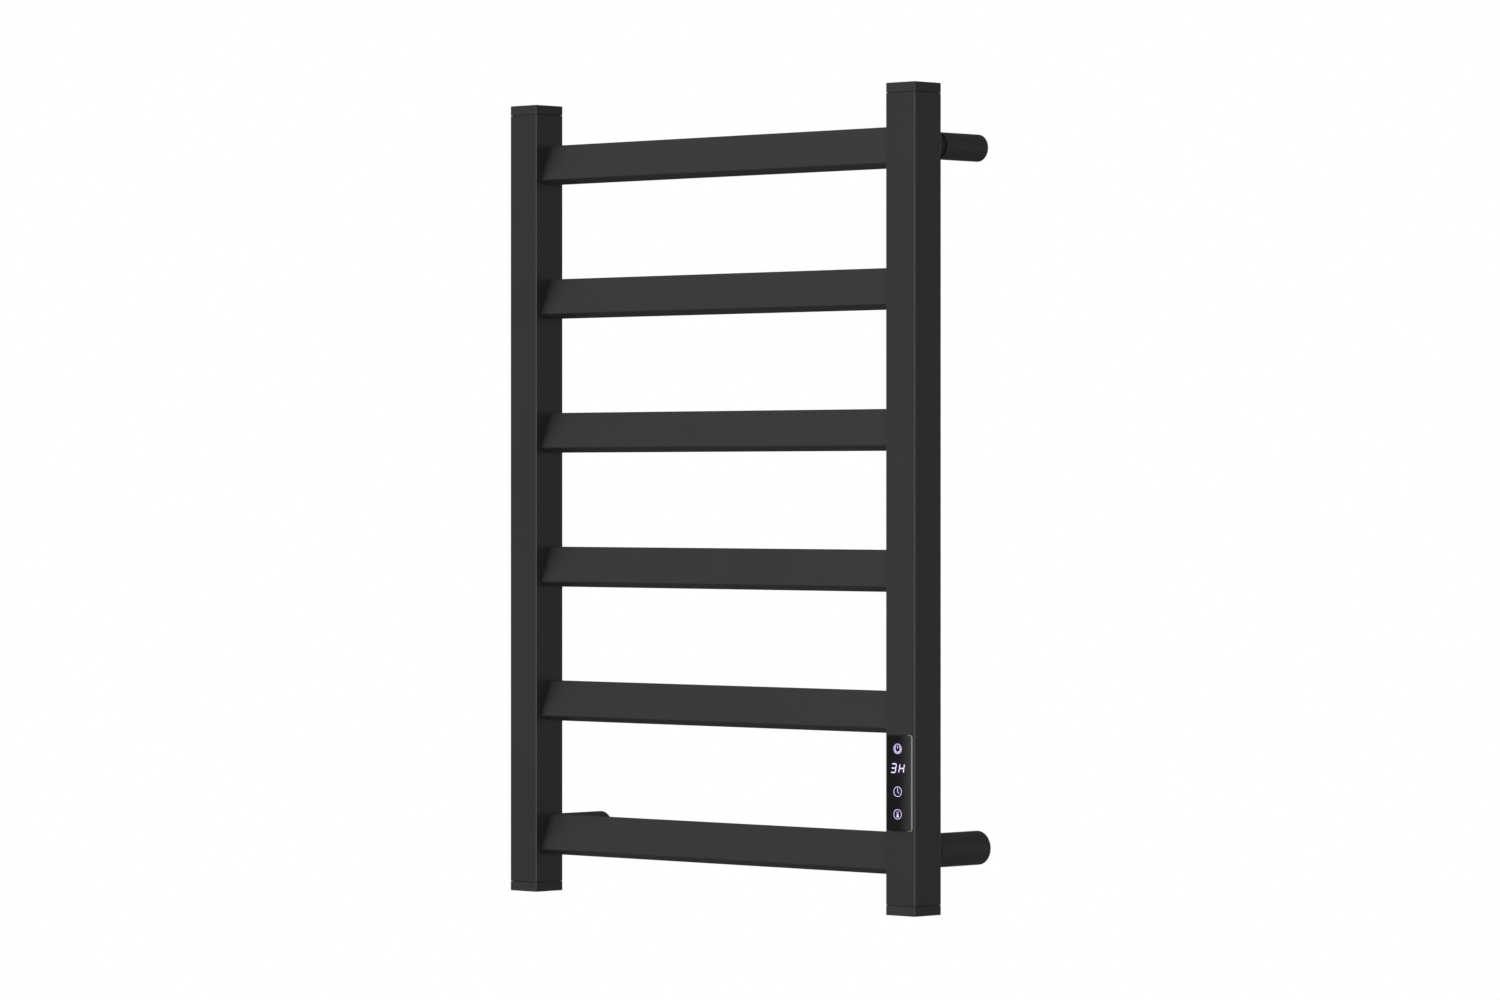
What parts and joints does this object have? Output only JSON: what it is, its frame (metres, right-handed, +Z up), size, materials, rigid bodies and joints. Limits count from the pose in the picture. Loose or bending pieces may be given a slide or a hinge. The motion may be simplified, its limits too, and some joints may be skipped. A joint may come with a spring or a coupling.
{
  "type": "towel warmer rack",
  "caption": "Wall-hung electric towel warmer: square posts, leaning flat rungs, telescopic round wall standoffs and a slim touch panel on one post.",
  "frame": {"origin": "middle of the four wall fixings, on the wall plane", "axes": "+X to the right seen from the room, +Y towards the wall, +Z up along the posts"},
  "size_m": [0.59, 0.1218, 0.85],
  "materials": {
    "powder_coat": "matt black powder coat with a fine texture",
    "cap_plastic": "matt black moulded plastic",
    "panel_plastic": "satin black moulded plastic",
    "panel_glass": "gloss black touch glass with pale violet lit symbols",
    "cast_aluminium": "plain cast and turned",
    "zinc_steel": "bright zinc plated",
    "black_steel": "black oxide",
    "rubber": "matt",
    "circuit_board": "green solder mask",
    "terminal_plastic": "ivory moulded",
    "silicone": "red silicone insulation",
    "lead_insulation": "white insulation"
  },
  "bodies": {
    "wall_brackets": {"wall_socket_top_left": "cast_aluminium", "wall_socket_top_right": "cast_aluminium", "wall_socket_bottom_left": "cast_aluminium", "wall_socket_bottom_right": "cast_aluminium", "sleeve_top_left": "powder_coat", "sleeve_top_right": "powder_coat", "sleeve_bottom_left": "powder_coat", "sleeve_bottom_right": "powder_coat", "neck_screw_top_left": "black_steel", "neck_screw_top_right": "black_steel", "neck_screw_bottom_left": "black_steel", "neck_screw_bottom_right": "black_steel", "socket_screw_top_left": "black_steel", "socket_screw_top_right": "black_steel", "socket_screw_bottom_left": "black_steel", "socket_screw_bottom_right": "black_steel"},
    "rack": {"left_post": "powder_coat", "right_post": "powder_coat", "rung_1": "powder_coat", "rung_2": "powder_coat", "rung_3": "powder_coat", "rung_4": "powder_coat", "rung_5": "powder_coat", "rung_6": "powder_coat", "cap_top_left": "cap_plastic", "cap_top_right": "cap_plastic", "cap_bottom_left": "cap_plastic", "cap_bottom_right": "cap_plastic", "neck_top_left": "powder_coat", "neck_top_right": "powder_coat", "neck_bottom_left": "powder_coat", "neck_bottom_right": "powder_coat", "neck_nut_top_left": "zinc_steel", "neck_nut_top_right": "zinc_steel", "neck_nut_bottom_left": "zinc_steel", "neck_nut_bottom_right": "zinc_steel", "cable_gland": "rubber", "panel_housing": "panel_plastic", "touch_glass": "panel_glass", "display_board": "circuit_board", "control_board": "circuit_board", "board_screw_lower": "zinc_steel", "board_screw_upper": "zinc_steel", "heating_cable": "silicone", "terminal_block": "terminal_plastic", "thermal_cutout": "cast_aluminium", "earth_screw": "zinc_steel", "temperature_sensor": "rubber", "sensor_lead": "lead_insulation", "board_lead": "lead_insulation"}
  },
  "joints": [
    {"name": "standoff_slide", "type": "slide", "parent": "wall_brackets", "child": "rack", "axis": [0, 1, 0], "range_m": [-0.01, 0.003]}
  ]
}
